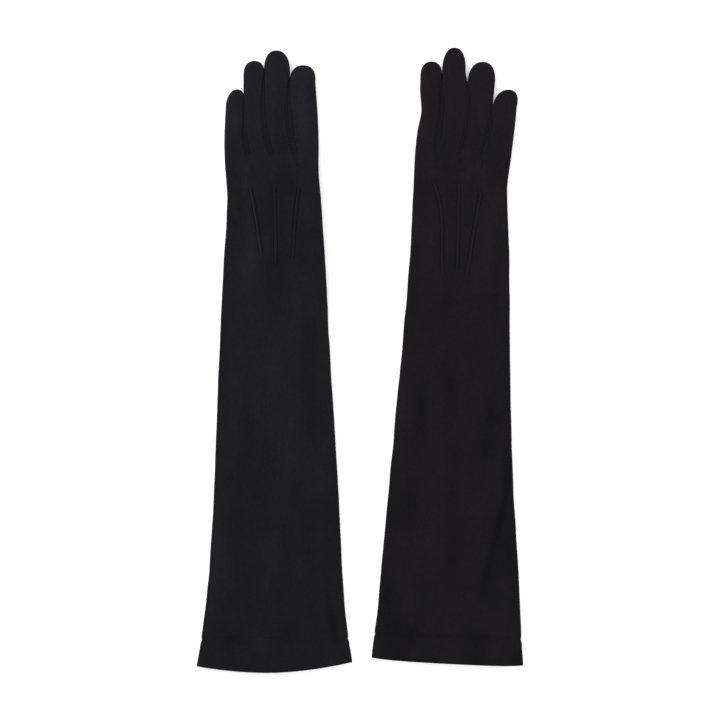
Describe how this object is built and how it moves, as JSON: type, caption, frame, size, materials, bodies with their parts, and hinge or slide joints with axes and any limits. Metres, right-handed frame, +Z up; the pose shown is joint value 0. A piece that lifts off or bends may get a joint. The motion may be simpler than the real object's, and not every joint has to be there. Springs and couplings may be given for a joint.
{
  "type": "pair of opera gloves",
  "caption": "Long suede opera gloves for the left and right hand, lying flat, with sewn finger sides, raised points on the backs, tucked thumbs and turned-in hems.",
  "frame": {"origin": "middle of the pair, on the surface that the gloves lie on", "axes": "+Y towards the fingertips, +Z up out of the backs of the gloves, left glove on the -X side"},
  "size_m": [0.3132, 0.5975, 0.0171],
  "materials": {
    "suede_skin": "black suede, fine matte nap",
    "suede_strip": "black suede strips between the fingers, fine matte nap",
    "suede_flesh_side": "inner side of the black leather, slightly smoother"
  },
  "bodies": {
    "left_sleeve": {"left_upper_sleeve": "suede_skin", "left_hem_facing": "suede_flesh_side"},
    "left_forearm": {"left_forearm": "suede_skin"},
    "left_hand": {"left_hand": "suede_skin", "left_thumb_gusset": "suede_strip", "left_little_ring_quirk": "suede_strip", "left_ring_middle_quirk": "suede_strip", "left_middle_index_quirk": "suede_strip", "left_ring_point": "suede_skin", "left_middle_point": "suede_skin", "left_index_point": "suede_skin"},
    "left_little_finger": {"left_little_finger": "suede_skin", "left_little_fourchette_by_ring": "suede_strip"},
    "left_ring_finger": {"left_ring_finger": "suede_skin", "left_ring_fourchette_by_little": "suede_strip", "left_ring_fourchette_by_middle": "suede_strip"},
    "left_middle_finger": {"left_middle_finger": "suede_skin", "left_middle_fourchette_by_ring": "suede_strip", "left_middle_fourchette_by_index": "suede_strip"},
    "left_index_finger": {"left_index_finger": "suede_skin", "left_index_fourchette_by_middle": "suede_strip"},
    "left_thumb": {"left_thumb": "suede_skin"},
    "right_sleeve": {"right_upper_sleeve": "suede_skin", "right_hem_facing": "suede_flesh_side"},
    "right_forearm": {"right_forearm": "suede_skin"},
    "right_hand": {"right_hand": "suede_skin", "right_thumb_gusset": "suede_strip", "right_little_ring_quirk": "suede_strip", "right_ring_middle_quirk": "suede_strip", "right_middle_index_quirk": "suede_strip", "right_ring_point": "suede_skin", "right_middle_point": "suede_skin", "right_index_point": "suede_skin"},
    "right_little_finger": {"right_little_finger": "suede_skin", "right_little_fourchette_by_ring": "suede_strip"},
    "right_ring_finger": {"right_ring_finger": "suede_skin", "right_ring_fourchette_by_little": "suede_strip", "right_ring_fourchette_by_middle": "suede_strip"},
    "right_middle_finger": {"right_middle_finger": "suede_skin", "right_middle_fourchette_by_ring": "suede_strip", "right_middle_fourchette_by_index": "suede_strip"},
    "right_index_finger": {"right_index_finger": "suede_skin", "right_index_fourchette_by_middle": "suede_strip"},
    "right_thumb": {"right_thumb": "suede_skin"}
  },
  "joints": [
    {"name": "left_elbow_bend", "type": "hinge", "parent": "left_sleeve", "child": "left_forearm", "pos_m": [-0.0821, -0.1415, 0.0088], "axis": [1, 0, 0], "range_deg": [0, 100]},
    {"name": "left_wrist_bend", "type": "hinge", "parent": "left_forearm", "child": "left_hand", "pos_m": [-0.0821, 0.0685, 0.0145], "axis": [1, 0, 0], "range_deg": [0, 60]},
    {"name": "left_little_finger_bend", "type": "hinge", "parent": "left_hand", "child": "left_little_finger", "pos_m": [-0.11965, 0.1965, 0.0084], "axis": [1, 0, 0], "range_deg": [0, 60]},
    {"name": "left_ring_finger_bend", "type": "hinge", "parent": "left_hand", "child": "left_ring_finger", "pos_m": [-0.09836, 0.1965, 0.0084], "axis": [1, 0, 0], "range_deg": [0, 60]},
    {"name": "left_middle_finger_bend", "type": "hinge", "parent": "left_hand", "child": "left_middle_finger", "pos_m": [-0.07812, 0.1965, 0.0084], "axis": [1, 0, 0], "range_deg": [0, 60]},
    {"name": "left_index_finger_bend", "type": "hinge", "parent": "left_hand", "child": "left_index_finger", "pos_m": [-0.05353, 0.1965, 0.0084], "axis": [1, 0, 0], "range_deg": [0, 60]},
    {"name": "left_thumb_swing", "type": "hinge", "parent": "left_hand", "child": "left_thumb", "pos_m": [-0.0571, 0.1205, 0.0031], "axis": [0, 0, -1], "range_deg": [0, 60]},
    {"name": "right_glove_lift", "type": "slide", "parent": "left_sleeve", "child": "right_sleeve", "axis": [0, 0, 1], "range_m": [0, 0.15]},
    {"name": "right_elbow_bend", "type": "hinge", "parent": "right_sleeve", "child": "right_forearm", "pos_m": [0.08799, -0.13936, 0.0088], "axis": [0.9996, -0.0279, 0], "range_deg": [0, 100]},
    {"name": "right_wrist_bend", "type": "hinge", "parent": "right_forearm", "child": "right_hand", "pos_m": [0.09385, 0.07056, 0.0145], "axis": [0.9996, -0.0279, 0], "range_deg": [0, 60]},
    {"name": "right_little_finger_bend", "type": "hinge", "parent": "right_hand", "child": "right_little_finger", "pos_m": [0.13341, 0.1975, 0.0084], "axis": [0.9996, -0.0279, 0], "range_deg": [0, 60]},
    {"name": "right_ring_finger_bend", "type": "hinge", "parent": "right_hand", "child": "right_ring_finger", "pos_m": [0.10642, 0.19826, 0.0084], "axis": [0.9996, -0.0279, 0], "range_deg": [0, 60]},
    {"name": "right_middle_finger_bend", "type": "hinge", "parent": "right_hand", "child": "right_middle_finger", "pos_m": [0.08443, 0.19887, 0.0084], "axis": [0.9996, -0.0279, 0], "range_deg": [0, 60]},
    {"name": "right_index_finger_bend", "type": "hinge", "parent": "right_hand", "child": "right_index_finger", "pos_m": [0.06344, 0.19946, 0.0084], "axis": [0.9996, -0.0279, 0], "range_deg": [0, 60]},
    {"name": "right_thumb_swing", "type": "hinge", "parent": "right_hand", "child": "right_thumb", "pos_m": [0.07031, 0.12324, 0.0031], "axis": [0, 0, 1], "range_deg": [0, 60]}
  ]
}
